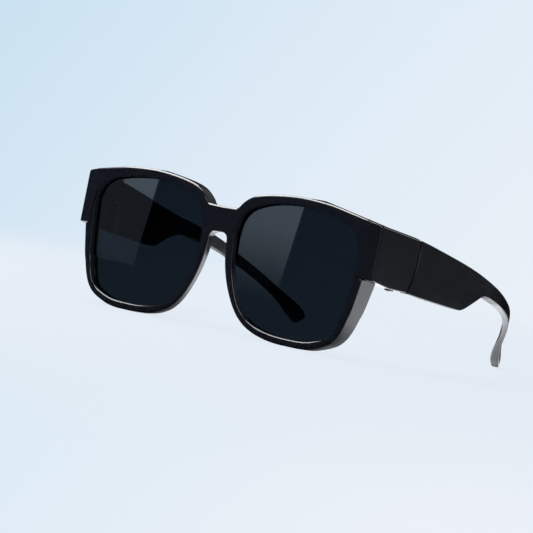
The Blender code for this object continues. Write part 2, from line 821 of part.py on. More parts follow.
glasses = new_collection("fit_over_glasses")
tools = new_collection("cutters")
black = new_material("black_plastic", (0.012, 0.013, 0.017), 0.32)
tint = new_material("lens_tint", (0.006, 0.008, 0.012), 0.04)
steel = new_material("steel", (0.56, 0.56, 0.58), 0.30, metallic=1.0)

frame_axes = empty("frame_axes")
front_frame = make_front()
temples_made = []
for hand, sign in (("left", 1), ("right", -1)):
    hinge = empty(f"{hand}_hinge", frame_axes, (HINGE_AXIS.x * sign, HINGE_AXIS.y, HINGE_AXIS.z))
    make_lens(f"{hand}_lens", sign)
    temples_made.append(make_temple(f"{hand}_temple", sign, hinge))
    make_hinge(hand, sign, hinge, frame_axes)

stand_on_table(front_frame, temples_made)

for item in glasses.objects:
    item.data.shade_smooth()
    if item.type == "MESH":
        item.data.set_sharp_from_angle(angle=math.radians(30))

print("front leans", round(math.degrees(frame_axes.rotation_euler.x), 2), "degrees")
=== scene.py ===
# Fit-over glasses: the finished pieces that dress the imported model, the studio round them and the camera.
# Metres and radians. The front's own axes start at the lug's lower front corner, midway between the lugs.

import json
import math

import bmesh
import bpy
from mathutils import Matrix, Vector


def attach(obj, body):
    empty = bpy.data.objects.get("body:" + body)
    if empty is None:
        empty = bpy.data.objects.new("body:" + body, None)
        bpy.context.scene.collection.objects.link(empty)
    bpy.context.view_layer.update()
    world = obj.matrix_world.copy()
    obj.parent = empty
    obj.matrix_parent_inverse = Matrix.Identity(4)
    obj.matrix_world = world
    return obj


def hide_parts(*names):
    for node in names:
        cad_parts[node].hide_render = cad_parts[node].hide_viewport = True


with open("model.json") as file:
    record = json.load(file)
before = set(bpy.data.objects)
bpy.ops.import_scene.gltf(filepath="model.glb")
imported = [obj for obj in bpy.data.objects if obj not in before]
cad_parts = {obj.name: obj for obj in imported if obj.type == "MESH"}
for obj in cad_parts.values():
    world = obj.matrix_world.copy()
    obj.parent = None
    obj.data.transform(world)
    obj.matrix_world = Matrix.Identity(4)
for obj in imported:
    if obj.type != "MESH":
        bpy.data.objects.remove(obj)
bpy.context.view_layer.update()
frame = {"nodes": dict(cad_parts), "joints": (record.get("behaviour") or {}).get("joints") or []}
print("frame loaded")

# the corner that wraps round from the rim to the hinge seam
lug = {
    "reach": 0.00785,  # from the lens out to the corner
    "height": 0.0212,
    "length": 0.02305,
    "edge": 0.0004,
    "edgeSegments": 3,
    "topEdge": 0.0010,
    "topSegments": 5,
    "cornerRadius": 0.0012,
    "frontWall": 0.0098,
    "sideWall": 0.0034,
    "splay": math.radians(6.8),  # how far the side opens toward the rear
    "browSlope": 0.175,  # the top rises by this toward the nose
    "topFall": 0.084,  # and falls by this toward the rear
    "browStep": 0.00003,  # keeps the rim's own top just under the lug's
    "underFall": 0.17,
    "rearFall": 0.04,
    "rearDrop": 0.0022,
    "startShare": 0.90,  # of the lens's width
}
# the flat lens, held in a groove of its rim
lens = {
    "width": 0.0578,
    "height": 0.05065,
    "thickness": 0.0018,
    "belowLug": 0.0282,  # how far the lens hangs below the lug's lower corner
    "recess": 0.0018,
    "groove": 0.0009,
    "edge": 0.0002,
    "edgeSegments": 2,
    "edgeAngle": math.radians(60),
}
# the bar between the two lenses, with its arch over the nose
bridge = {
    "gap": 0.0167,
    "height": 0.0103,
    "belowLugTop": 0.0041,
    "valleyRadius": 0.0014,
    "archRadius": 0.0026,
    "dip": 0.0003,
}
fit = {
    "gap": 0.0003,  # the play round a lens in its groove and beside the hinge
    "overrun": 0.002,  # how far a cutting shape goes past what it cuts
    "merge": 0.000003,  # how close the mirrored halves have to be to join
}
fineness = {
    "lensSteps": 6,
    "cornerSteps": 8,
    "roundSteps": 5,
    "armSteps": 4,
    "bowSteps": 8,
    "mitreLimit": 0.5,  # keeps a sharp corner from running out too far
    "matchDigits": 9,  # by which a fresh corner is known from its place
}

# the angle from which an edge stays sharp, and how much a face's size counts in the shading
shading = {
    "front": (math.radians(30), 100),
    "lens": (math.radians(30), 100),
    "arm": (math.radians(40), 50),
}

halfWidth = bridge["gap"] / 2 + lens["width"] + lug["reach"]

# where the hinge stands in the front's own axes
hinge = {"setback": 0.0172, "bottom": 0.0013, "height": 0.0110, "knuckleRadius": 0.0021}


def frontAxes():
    # the hinge's own line tells how the front leans and where it stands
    fold = next(j for j in frame["joints"] if j["name"] == "left_arm_fold")
    across = (lug["sideWall"] + fit["gap"] + hinge["knuckleRadius"]) / math.cos(lug["splay"])
    axisX = halfWidth + math.tan(lug["splay"]) * hinge["setback"] - across
    middle = Vector((axisX, hinge["setback"], hinge["height"] / 2 - hinge["bottom"]))
    turn = Matrix.Rotation(-math.atan2(fold["axis"][1], fold["axis"][2]), 4, "X")
    return Matrix.Translation(Vector(fold["pos_m"]) - turn @ middle) @ turn


axes = frontAxes()


def curveThrough(rows, steps, closed=False):
    # a smooth curve through rows of numbers, with this many points from one row to the next
    count = len(rows)
    found = []
    for i in range(count if closed else count - 1):
        picks = [k % count if closed else min(max(k, 0), count - 1) for k in range(i - 1, i + 3)]
        a, b, c, d = (Vector(rows[k]) for k in picks)
        square = a * 2 - b * 5 + c * 4 - d
        cube = b * 3 - a - c * 3 + d
        for step in range(steps):
            t = step / steps
            found.append(b + ((c - a) * t + square * t**2 + cube * t**3) / 2)
    if not closed:
        found.append(Vector(rows[-1]))
    return found


def valueAt(line, place):
    # the second value of a line of pairs where the first one has reached this place
    for a, b in zip(line, line[1:]):
        if place <= b[0]:
            break
    return a[1] + (b[1] - a[1]) * (place - a[0]) / (b[0] - a[0])


def outwardOf(points):
    # at each corner of a closed outline the way outward, long enough to keep its sides parallel
    found = []
    for i, point in enumerate(points):
        before = (point - points[i - 1]).normalized()
        after = (points[(i + 1) % len(points)] - point).normalized()
        along = (before + after).normalized()
        found.append(Vector((along.y, -along.x)) / max(along.dot(after), fineness["mitreLimit"]))
    return found


def shifted(points, distances):
    return [p + n * d for p, n, d in zip(points, outwardOf(points), distances)]


def roundCorner(before, corner, after, radius):
    start = (before - corner).normalized()
    end = (after - corner).normalized()
    half = start.angle(end) / 2
    middle = corner + (start + end).normalized() * radius / math.sin(half)
    first = corner + start * radius / math.tan(half) - middle
    last = corner + end * radius / math.tan(half) - middle
    turn = first.angle_signed(last)
    steps = fineness["cornerSteps"]
    return [middle + Matrix.Rotation(-turn * k / steps, 2) @ first for k in range(steps + 1)]


def rounded(path):
    # a path of corners, each with its radius
    found = []
    for i, (point, radius) in enumerate(path):
        if radius:
            found += roundCorner(path[i - 1][0], point, path[(i + 1) % len(path)][0], radius)
        else:
            found.append(point)
    return found


def quarterTurn(radius):
    # a soft quarter round, as steps inward and steps in depth
    angles = [math.radians(90) * k / fineness["roundSteps"] for k in range(fineness["roundSteps"] + 1)]
    return [(radius * (1 - math.sin(a)), radius * (1 - math.cos(a))) for a in angles]


def edgesIn(geometry):
    return [g for g in geometry if isinstance(g, bmesh.types.BMEdge)]


def grown(rings):
    # the first ring is extruded edge by edge to each of the next ones, then both ends are closed
    made = bmesh.new()
    verts = [made.verts.new(p) for p in rings[0]]
    edges = [made.edges.new((verts[i - 1], v)) for i, v in enumerate(verts)]
    first = list(edges)
    digits = fineness["matchDigits"]
    for ring in rings[1:]:
        places = {v.co.to_tuple(digits): i for i, v in enumerate(verts)}
        grow = bmesh.ops.extrude_edge_only(made, edges=edges)["geom"]
        edges = edgesIn(grow)
        fresh = [g for g in grow if isinstance(g, bmesh.types.BMVert)]
        fresh.sort(key=lambda v: places[v.co.to_tuple(digits)])
        for v, point in zip(fresh, ring):
            v.co = point
        verts = fresh
    for end in (first, edges):
        bmesh.ops.edgeloop_fill(made, edges=end)
    bmesh.ops.recalc_face_normals(made, faces=made.faces)
    return made


def bisected(made, point, normal):
    # takes away what lies beyond a plane and closes the cut
    cut = bmesh.ops.bisect_plane(
        made, geom=made.verts[:] + made.edges[:] + made.faces[:], plane_co=point, plane_no=normal,
        clear_outer=True,
    )
    edges = edgesIn(cut["geom_cut"])
    if edges:
        bmesh.ops.holes_fill(made, edges=edges)


def clipped(made, point, normal):
    bisected(made, point, normal)
    bmesh.ops.recalc_face_normals(made, faces=made.faces)


def bevelled(made, edges, width, segments):
    bmesh.ops.bevel(
        made, geom=edges, offset=width, segments=segments, profile=0.5, affect="EDGES", material=-1
    )


def objectFrom(name, made):
    mesh = bpy.data.meshes.new(name)
    made.to_mesh(mesh)
    made.free()
    item = bpy.data.objects.new(name, mesh)
    bpy.context.scene.collection.objects.link(item)
    return item


def opened(item):
    made = bmesh.new()
    made.from_mesh(item.data)
    return made


def putBack(item, made):
    made.to_mesh(item.data)
    made.free()


def applied(item):
    # the mesh as its modifiers leave it takes the place of the one that they started from
    bpy.context.view_layer.update()
    shown = item.evaluated_get(bpy.context.evaluated_depsgraph_get())
    mesh = bpy.data.meshes.new_from_object(shown)
    item.modifiers.clear()
    old = item.data
    item.data = mesh
    bpy.data.meshes.remove(old)
    mesh.name = item.name


def cutInto(item, made, operation):
    # a Boolean against a helper that is thrown away once it has been applied
    helper = objectFrom("helper", made)
    step = item.modifiers.new("shape", "BOOLEAN")
    step.operation = operation
    step.object = helper
    step.solver = "EXACT"
    applied(item)
    bpy.data.objects.remove(helper, do_unlink=True)


def settled(item, kind, mirrored=False):
    # moves the shape, not the object, from the front's axes to the model's and trims it to the table
    made = opened(item)
    if mirrored:
        bmesh.ops.scale(made, vec=(-1, 1, 1), verts=made.verts)
        bmesh.ops.reverse_faces(made, faces=made.faces)
    bmesh.ops.transform(made, matrix=axes, verts=made.verts)
    bisected(made, (0, 0, 0), (0, 0, -1))
    putBack(item, made)
    sharpAngle, faceWeight = shading[kind]
    item.data.shade_smooth()
    item.data.set_sharp_from_angle(angle=sharpAngle)
    even = item.modifiers.new("even shading", "WEIGHTED_NORMAL")
    even.keep_sharp = True
    even.weight = faceWeight
    applied(item)
    return item


# the rim round each lens and the shroud behind it
rim = {
    "width": 0.0032,
    "round": 0.0010,
    "mouth": 0.0009,  # the round of the opening in front of the lens
    "lip": 0.0009,
    "wall": 0.0018,
    "depthAtNose": 0.0054,
    "depthAtSide": 0.0088,
    "noseSplay": 0.0020,
    "nosePower": 4,  # how quickly the splay fades away from the nose side
    "topBlend": 2,  # how quickly a rising edge counts as the top
    "sideFlare": 0.0005,
    "topFlare": 0.0003,
    "forward": 0.0010,
    "wrap": 0.034,
    "tilt": 0.035,
    "rearTilt": 0.034,
    "tiltBelowLug": 0.0080,
    "noseRelief": 0.0016,
    "reliefEndShare": 0.30,
    "browStartShare": 0.78,
}

# lens edge from the nose side down and round: shares of width, of height, and of the rim's width
lensShares = (
    (0.000, 0.695, 1.25), (0.009, 0.537, 1.20), (0.029, 0.419, 1.13), (0.060, 0.310, 1.04),
    (0.103, 0.201, 0.88), (0.155, 0.122, 0.81), (0.226, 0.063, 0.82), (0.328, 0.024, 0.88),
    (0.444, 0.004, 0.91), (0.565, 0.000, 0.92), (0.677, 0.004, 0.92), (0.760, 0.022, 0.90),
    (0.857, 0.063, 0.85), (0.909, 0.113, 0.80), (0.937, 0.186, 0.88), (0.954, 0.267, 0.99),
    (0.970, 0.347, 1.10), (0.992, 0.557, 1.34), (1.000, 0.675, 1.45), (0.997, 0.764, 1.50),
    (0.968, 0.849, 1.48), (0.933, 0.894, 1.40), (0.876, 0.934, 1.38), (0.712, 0.977, 1.30),
    (0.487, 1.000, 1.14), (0.293, 0.983, 1.14), (0.150, 0.938, 1.36), (0.074, 0.894, 1.28),
    (0.032, 0.839, 1.15), (0.010, 0.780, 1.22),
)


def lensLine():
    rows = curveThrough(lensShares, fineness["lensSteps"], closed=True)
    line = [
        Vector((bridge["gap"] / 2 + r[0] * lens["width"], r[1] * lens["height"] - lens["belowLug"]))
        for r in rows
    ]
    return line, [r[2] * rim["width"] for r in rows]


def faceDepth(x, z, slope=rim["tilt"]):
    # how far forward the wrapped and tilted face of the front stands
    return -rim["forward"] - rim["wrap"] * (halfWidth - x) - slope * (z + rim["tiltBelowLug"])


def ringAt(points, depth):
    return [Vector((p.x, depth + faceDepth(p.x, p.y), p.y)) for p in points]


def browHeight(x):
    # the lug's top plane where the brow's rounded edge ends
    level = lug["height"] + lug["browSlope"] * (halfWidth - x)
    return level - lug["topFall"] * (faceDepth(x, level) + rim["round"])


def frontOutline():
    # left half of the front seen from the front, from the bridge's underside round to its top
    line, widths = lensLine()
    outer = shifted(line, widths)
    bridgeTop = lug["height"] - bridge["belowLugTop"]
    arch = bridgeTop - bridge["height"]
    browStart = bridge["gap"] / 2 + lens["width"] * rim["browStartShare"]
    middle = bridge["gap"] / 2 + lens["width"] / 2
    lugInside = halfWidth - lug["reach"] + rim["mouth"] + rim["round"]
    nose = [p for p in outer if p.x < middle and p.y < arch]
    lower = [p for p in outer if p.y < (arch - bridge["archRadius"] if p.x < middle else 0)]
    upper = [p for p in outer if p.x < browStart and p.y > bridgeTop + bridge["valleyRadius"] / 2]
    valley = Vector((upper[-1].x - (upper[-1].y - bridgeTop), bridgeTop))
    past = -fit["overrun"]
    path = [(Vector((past, arch)), 0), (Vector((nose[0].x, arch)), bridge["archRadius"])]
    path += [(p, 0) for p in lower]
    path += [(Vector((lugInside, lug["cornerRadius"])), 0)]
    path += [(Vector((x, browHeight(x))), 0) for x in (lugInside, browStart)]
    path += [(p, 0) for p in upper]
    path += [(valley, bridge["valleyRadius"]), (Vector((past, bridgeTop - bridge["dip"])), 0)]
    return rounded(path)


def leansOf(points):
    # how far the shroud's wall leans outward over its depth beside each point
    leans = []
    for normal in outwardOf(points):
        way = normal.normalized()
        nose = max(-way.x, 0)
        top = max(way.y, 0)
        rising = min(top * rim["topBlend"], 1)
        splay = nose ** rim["nosePower"] * (1 - rising) + math.sqrt(nose) * top * rising
        flare = rim["sideFlare"] * max(way.x, 0) + rim["topFlare"] * top * (1 - nose)
        leans.append(flare - rim["noseSplay"] * splay)
    return leans


def frontBlank():
    outline = frontOutline()
    deep = rim["depthAtSide"] + fit["overrun"] * 2
    leans = [lean * deep / rim["depthAtSide"] for lean in leansOf(outline)]
    rings = [
        ringAt(shifted(outline, [-inward] * len(outline)), depth)
        for inward, depth in quarterTurn(rim["round"])
    ]
    made = grown(rings + [ringAt(shifted(outline, leans), deep)])
    clipped(made, (halfWidth, 0, lug["height"] - lug["browStep"]), (lug["browSlope"], lug["topFall"], 1))
    return made


def lensHollow():
    # the opening, the groove for the lens, the lip behind it and the hollow of the shroud
    line, widths = lensLine()
    leans = [lean / rim["depthAtSide"] for lean in leansOf(line)]
    grooveEnd = lens["recess"] + lens["thickness"] + fit["gap"] * 2
    lipEnd = grooveEnd + rim["lip"]
    deep = rim["depthAtSide"] + fit["overrun"] * 3

    def at(distance, depth):
        return ringAt(shifted(line, [distance] * len(line)), depth)

    def hollowAt(depth):
        inside = [w - rim["wall"] + lean * depth for w, lean in zip(widths, leans)]
        return ringAt(shifted(line, inside), depth)

    rings = [at(rim["mouth"], -fit["overrun"])]
    rings += [at(inward, depth) for inward, depth in quarterTurn(rim["mouth"])]
    rings += [at(0, lens["recess"]), at(lens["groove"], lens["recess"]), at(lens["groove"], grooveEnd)]
    rings += [at(0, grooveEnd), at(0, lipEnd), hollowAt(lipEnd), hollowAt(deep)]
    return grown(rings)


def behindShroud():
    # what is cut away behind the front: the shroud is shallower toward the nose, most below the bridge
    far = rim["depthAtSide"] + fit["overrun"] * 4
    side = halfWidth + fit["overrun"] * 2
    past = -fit["overrun"] * 2
    inside = bridge["gap"] / 2
    reliefEnd = inside + lens["width"] * rim["reliefEndShare"]
    way = (reliefEnd - inside) / (side - inside)
    between = rim["depthAtNose"] + (rim["depthAtSide"] - rim["depthAtNose"]) * way
    bridgeTop = lug["height"] - bridge["belowLugTop"]
    rings = []
    for height, relief in (
        (-lens["belowLug"] - lens["height"], rim["noseRelief"]),
        (bridgeTop - bridge["height"], rim["noseRelief"]),
        (bridgeTop, 0),
        (lug["height"] + lens["height"], 0),
    ):
        shallow = rim["depthAtNose"] - relief
        plan = (
            (past, shallow), (inside, shallow), (reliefEnd, between),
            (side, rim["depthAtSide"]), (side, far), (past, far),
        )
        rings.append([Vector((x, y + faceDepth(x, height, -rim["rearTilt"]), height)) for x, y in plan])
    return grown(rings)


# how far a face has to point one way to count as facing it
facing = {"upOrDown": 0.7, "frontOrSide": 0.6, "level": 0.3}


def edgesBetween(made, one, other):
    # the edges where a face of one kind meets a face of the other
    return [
        e for e in made.edges
        if any(one(f.normal) for f in e.link_faces) and any(other(f.normal) for f in e.link_faces)
    ]


def lugBlank():
    start = bridge["gap"] / 2 + lens["width"] * lug["startShare"]
    knee = halfWidth - lug["reach"] + rim["mouth"]
    flush = lug["height"] + fit["overrun"]
    front = faceDepth(start, flush)
    inside = front + lug["frontWall"]
    end = lug["length"] + fit["overrun"]
    spread = math.tan(lug["splay"])
    wall = lug["sideWall"] / math.cos(lug["splay"])
    path = rounded([
        (Vector((start, front)), 0),
        (Vector((knee, faceDepth(knee, flush))), 0),
        (Vector((halfWidth, 0)), lug["cornerRadius"]),
        (Vector((halfWidth + spread * end, end)), 0),
        (Vector((halfWidth - wall + spread * end, end)), 0),
        (Vector((halfWidth - wall + spread * inside, inside)), lug["cornerRadius"]),
        (Vector((start, inside)), 0),
    ])
    made = grown([[Vector((*p, z)) for p in path] for z in (-lug["height"], lug["height"] * 2)])
    clipped(made, (halfWidth, 0, lug["height"]), (lug["browSlope"], lug["topFall"], 1))
    clipped(made, (halfWidth, 0, 0), (0, -lug["underFall"], -1))
    clipped(made, (halfWidth, lug["length"], -lug["rearDrop"]), (0, -lug["rearFall"], -1))
    topEdges = edgesBetween(
        made, lambda n: n.z > facing["upOrDown"],
        lambda n: n.y < -facing["frontOrSide"] or n.x > facing["frontOrSide"],
    )
    bevelled(made, topEdges, lug["topEdge"], lug["topSegments"])
    lowEdges = edgesBetween(
        made, lambda n: n.z < -facing["upOrDown"], lambda n: abs(n.z) < facing["level"]
    )
    bevelled(made, lowEdges, lug["edge"], lug["edgeSegments"])
    return made


# the curved seam between lug and arm: an arc seen from the side
seam = {
    "radius": 0.039,
    "height": 0.01275,
    "gap": 0.0007,
    "sides": 240,
    "edge": 0.00022,
    "nearShare": 0.25,  # of the edge: how close to the arc a corner has to lie
    "sharpAngle": 1.0,
}


def seamDrum(extra):
    made = bmesh.new()
    radius = seam["radius"] + extra
    bmesh.ops.create_cone(
        made, cap_ends=True, segments=seam["sides"], radius1=radius, radius2=radius, depth=halfWidth
    )
    bmesh.ops.translate(made, vec=(0, 0, halfWidth / 2), verts=made.verts)
    bmesh.ops.rotate(made, matrix=Matrix.Rotation(math.radians(90), 3, "Y"), verts=made.verts)
    place = (halfWidth / 2, lug["length"] - seam["radius"], seam["height"])
    bmesh.ops.translate(made, vec=place, verts=made.verts)
    return made


def seamSoftened(item, radius):
    # a small chamfer on the sharp edges that a seam cut leaves
    made = opened(item)
    centre = Vector((0, lug["length"] - seam["radius"], seam["height"]))

    def onSeam(v):
        off = abs((Vector((0, v.co.y, v.co.z)) - centre).length - radius)
        return off < seam["edge"] * seam["nearShare"]

    edges = [
        e for e in made.edges
        if e.verts[0].co.x > 0 and all(onSeam(v) for v in e.verts)
        and e.calc_face_angle(0) > seam["sharpAngle"]
    ]
    bevelled(made, edges, seam["edge"], 1)
    putBack(item, made)


def makeFront():
    lugShape = objectFrom("lug", lugBlank())
    cutInto(lugShape, seamDrum(0), "INTERSECT")
    seamSoftened(lugShape, seam["radius"])
    half = objectFrom("front_moulding", frontBlank())
    cutInto(half, behindShroud(), "DIFFERENCE")
    cutInto(half, opened(lugShape), "UNION")
    bpy.data.objects.remove(lugShape, do_unlink=True)
    cutInto(half, lensHollow(), "DIFFERENCE")
    other = half.modifiers.new("right half", "MIRROR")
    other.use_bisect_axis[0] = True
    other.use_clip = True
    other.merge_threshold = fit["merge"]
    applied(half)
    return settled(half, "front")


def makeLens(name, mirrored):
    line, _ = lensLine()
    outer = shifted(line, [lens["groove"] - fit["gap"]] * len(line))
    start = lens["recess"] + fit["gap"]
    made = grown([ringAt(outer, start), ringAt(outer, start + lens["thickness"])])
    rimEdges = [e for e in made.edges if e.calc_face_angle(0) > lens["edgeAngle"]]
    bevelled(made, rimEdges, lens["edge"], lens["edgeSegments"])
    return settled(objectFrom(name, made), "lens", mirrored)


# the side arm: a wide temple that steps down to a thin ear hook with a flared tip
arm = {
    "reach": 0.1312,
    "drop": 0.0473,
    "thickness": 0.0034,
    "edge": 0.00035,
    "edgeShare": 0.45,  # the most of the section's thickness or height that a round takes
    "hookEdge": 0.0013,  # the lower outer edge is rounder along the hook
    "hookEdgeShare": 0.50,
    "hookStart": 0.62,  # share of the reach where the rounds begin to grow
    "hookEnd": 0.86,
}

# arm sections: shares of reach and drop at the top edge, the same at the lower edge, share of thickness
sectionShares = (
    (0.130, 0.035, 0.130, 0.489, 1.00), (0.198, 0.063, 0.198, 0.509, 1.00),
    (0.274, 0.104, 0.274, 0.528, 1.00), (0.335, 0.139, 0.345, 0.544, 1.00),
    (0.370, 0.160, 0.385, 0.552, 1.00), (0.382, 0.167, 0.399, 0.553, 1.00),
    (0.393, 0.174, 0.410, 0.549, 1.00), (0.411, 0.185, 0.428, 0.529, 1.00),
    (0.442, 0.205, 0.456, 0.487, 1.00), (0.472, 0.224, 0.480, 0.452, 1.00),
    (0.491, 0.238, 0.499, 0.424, 1.15), (0.511, 0.252, 0.513, 0.409, 1.30),
    (0.534, 0.267, 0.529, 0.404, 1.45), (0.572, 0.293, 0.559, 0.411, 1.60),
    (0.627, 0.331, 0.603, 0.432, 1.55), (0.693, 0.386, 0.660, 0.463, 1.30),
    (0.757, 0.457, 0.718, 0.511, 0.97), (0.819, 0.544, 0.774, 0.574, 0.80),
    (0.869, 0.629, 0.825, 0.643, 0.66), (0.917, 0.724, 0.874, 0.731, 0.58),
    (0.964, 0.813, 0.918, 0.841, 0.92), (0.983, 0.860, 0.949, 0.932, 1.14),
    (0.996, 0.896, 0.966, 0.972, 1.10), (1.000, 0.930, 0.974, 0.993, 0.98),
    (0.996, 0.957, 0.976, 0.998, 0.80), (0.990, 0.978, 0.979, 1.000, 0.55),
)

# inward bow of the arm from the straight line of the lug's side: share of the reach, bow as a share of it
bowShares = (
    (0.122, 0.000), (0.274, 0.000), (0.381, 0.000), (0.457, 0.006), (0.533, 0.020), (0.609, 0.042),
    (0.686, 0.070), (0.762, 0.102), (0.839, 0.155), (0.915, 0.222), (0.960, 0.255), (1.015, 0.288),
)


def sectionRound(tall, deep, lowY):
    # once round a section, as steps up from its lower edge and steps inward from its outer face
    way = min(max((lowY - arm["hookStart"]) / (arm["hookEnd"] - arm["hookStart"]), 0), 1)
    soft = arm["edge"] + (arm["hookEdge"] - arm["edge"]) * way * way * (3 - 2 * way)
    small = (arm["edge"] + soft) / 2
    small = quarterTurn(min(small, deep * arm["edgeShare"], tall * arm["edgeShare"]))
    large = quarterTurn(min(soft, deep * arm["hookEdgeShare"], tall * arm["edgeShare"]))
    section = list(large)
    section += [(up, deep - inward) for up, inward in reversed(small)]
    section += [(tall - up, deep - inward) for up, inward in small]
    section += [(tall - up, inward) for up, inward in reversed(small)]
    return section


def armBlank():
    straight = math.tan(lug["splay"])
    plan = [
        (p.x * arm["reach"], halfWidth + (straight * p.x - p.y) * arm["reach"])
        for p in curveThrough(bowShares, fineness["bowSteps"])
    ]
    near = fit["overrun"]
    rings = []
    for topY, topZ, lowY, lowZ, thick in curveThrough(sectionShares, fineness["armSteps"]):
        top = Vector((topY * arm["reach"], lug["height"] - topZ * arm["drop"]))
        low = Vector((lowY * arm["reach"], lug["height"] - lowZ * arm["drop"]))
        tall = (top - low).length
        ring = []
        for up, inward in sectionRound(tall, arm["thickness"] * thick, lowY):
            point = low.lerp(top, up / tall)
            slope = (valueAt(plan, point.x + near) - valueAt(plan, point.x - near)) / (near * 2)
            x = valueAt(plan, point.x) - inward * math.sqrt(1 + slope**2)
            ring.append(Vector((x, point.x, point.y)))
        rings.append(ring)
    return grown(rings)


def makeArm(name, mirrored):
    item = objectFrom(name, armBlank())
    cutInto(item, seamDrum(seam["gap"]), "DIFFERENCE")
    seamSoftened(item, seam["radius"] + seam["gap"])
    return settled(item, "arm", mirrored)


def node(tree, kind, **values):
    # a new node with values for its sockets or for its own settings
    made = tree.nodes.new(kind)
    for key, value in values.items():
        if key in made.inputs:
            made.inputs[key].default_value = value
        else:
            setattr(made, key, value)
    return made


def fed(tree, made, *sources):
    # the sources go to the node's first sockets, in order
    for socket, source in zip(made.inputs, sources):
        tree.links.new(source, socket)
    return made.outputs[0]


def placeOn(tree):
    # the place on the object, whole and as its three parts
    whole = tree.nodes.new("ShaderNodeTexCoord").outputs["Object"]
    parts = tree.nodes.new("ShaderNodeSeparateXYZ")
    fed(tree, parts, whole)
    return whole, parts.outputs


def ramped(tree, source, ends, values=(0, 1), kind="LINEAR"):
    # from one value to the other while the source goes from end to end
    made = node(tree, "ShaderNodeMapRange", interpolation_type=kind)
    made.inputs["From Min"].default_value, made.inputs["From Max"].default_value = ends
    made.inputs["To Min"].default_value, made.inputs["To Max"].default_value = values
    return fed(tree, made, source)


def faded(tree, source, ends, values=(0, 1)):
    return ramped(tree, source, ends, values, "SMOOTHSTEP")


# where the Mix node keeps its sockets for colours
mixSockets = {"first": 6, "second": 7, "result": 2}


def toned(tree, share, first, second):
    # the first colour where the share is 0 and the second where it is 1
    made = node(tree, "ShaderNodeMix", data_type="RGBA")
    made.inputs[mixSockets["first"]].default_value = (*first, 1)
    made.inputs[mixSockets["second"]].default_value = (*second, 1)
    fed(tree, made, share)
    return made.outputs[mixSockets["result"]]


# moulded grain: detail and roughness of its fine and its slow noise, and the part of the tone that shows
grainLook = {"fine": (3.0, 0.6), "slow": (2.0, 0.5), "toneEnds": (0.3, 0.7)}


def grainGroup():
    # a fine height, and a slow tone that changes over the surface
    group = bpy.data.node_groups.new("mouldedGrain", "ShaderNodeTree")
    sockets = {"Grain Scale": "INPUT", "Tone Scale": "INPUT", "Height": "OUTPUT", "Tone": "OUTPUT"}
    for label, side in sockets.items():
        group.interface.new_socket(label, in_out=side, socket_type="NodeSocketFloat")
    start = group.nodes.new("NodeGroupInput")
    end = group.nodes.new("NodeGroupOutput")
    place = group.nodes.new("ShaderNodeTexCoord")
    for kind, label, result in (("fine", "Grain Scale", "Height"), ("slow", "Tone Scale", "Tone")):
        detail, roughness = grainLook[kind]
        noise = node(group, "ShaderNodeTexNoise", Detail=detail, Roughness=roughness)
        group.links.new(place.outputs["Object"], noise.inputs["Vector"])
        group.links.new(start.outputs[label], noise.inputs["Scale"])
        group.links.new(noise.outputs["Fac"], end.inputs[result])
    return group


grain = grainGroup()


def newMaterial(name):
    made = bpy.data.materials.new(name)
    made.use_nodes = True
    tree = made.node_tree
    return made, tree, tree.nodes["Principled BSDF"]


def grained(tree, shader, look):
    # the shared grain gives the shader its colour, its roughness and its bump
    group = tree.nodes.new("ShaderNodeGroup")
    group.node_tree = grain
    group.inputs["Grain Scale"].default_value = look["grainScale"]
    group.inputs["Tone Scale"].default_value = look["toneScale"]
    tone = group.outputs["Tone"]
    raised = node(tree, "ShaderNodeBump", Strength=look["bump"], Distance=look["bumpDepth"])
    tree.links.new(group.outputs["Height"], raised.inputs["Height"])
    tree.links.new(toned(tree, tone, look["dark"], look["light"]), shader.inputs["Base Color"])
    tree.links.new(ramped(tree, tone, grainLook["toneEnds"], look["rough"]), shader.inputs["Roughness"])
    tree.links.new(raised.outputs["Normal"], shader.inputs["Normal"])


plasticLook = {
    "dark": (0.0040, 0.0048, 0.0072),
    "light": (0.0062, 0.0072, 0.0100),
    "rough": (0.14, 0.20),
    "grainScale": 2600.0,
    "toneScale": 60.0,
    "bump": 0.08,
    "bumpDepth": 0.00002,
}
steelLook = {
    "dark": (0.30, 0.30, 0.31),
    "light": (0.48, 0.48, 0.50),
    "rough": (0.22, 0.40),
    "grainScale": 4200.0,
    "toneScale": 420.0,
    "bump": 0.15,
    "bumpDepth": 0.00001,
}
lensLook = {
    "high": (0.0080, 0.0128, 0.0188),
    "low": (0.0090, 0.0140, 0.0200),
    "bend": 1.5,
    "smearScale": 45.0,
    "smearDetail": 2.0,
    "smearEnds": (0.4, 0.8),
    "rough": (0.0, 0.05),
}


def blackPlastic(name):
    made, tree, shader = newMaterial(name)
    grained(tree, shader, plasticLook)
    return made


def turnedSteel(name):
    made, tree, shader = newMaterial(name)
    shader.inputs["Metallic"].default_value = 1.0
    grained(tree, shader, steelLook)
    return made


def tintedLens(name):
    # the tint is a little paler below, and faint smears spread the gloss
    made, tree, shader = newMaterial(name)
    shader.inputs["Transmission Weight"].default_value = 1.0
    shader.inputs["IOR"].default_value = lensLook["bend"]
    place, parts = placeOn(tree)
    height = ramped(tree, parts["Z"], (0, lens["height"]))
    smear = node(
        tree, "ShaderNodeTexNoise", Scale=lensLook["smearScale"], Detail=lensLook["smearDetail"]
    )
    rough = ramped(tree, fed(tree, smear, place), lensLook["smearEnds"], lensLook["rough"])
    tree.links.new(toned(tree, height, lensLook["low"], lensLook["high"]), shader.inputs["Base Color"])
    tree.links.new(rough, shader.inputs["Roughness"])
    return made


def dress(piece, material, body, slot, *nodes):
    piece.data.materials.clear()
    piece.data.materials.append(material)
    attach(piece, body)
    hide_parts(*nodes)


plastic = blackPlastic("satin_black_plastic")
tint = tintedLens("grey_tinted_lens")
steel = turnedSteel("bright_steel")

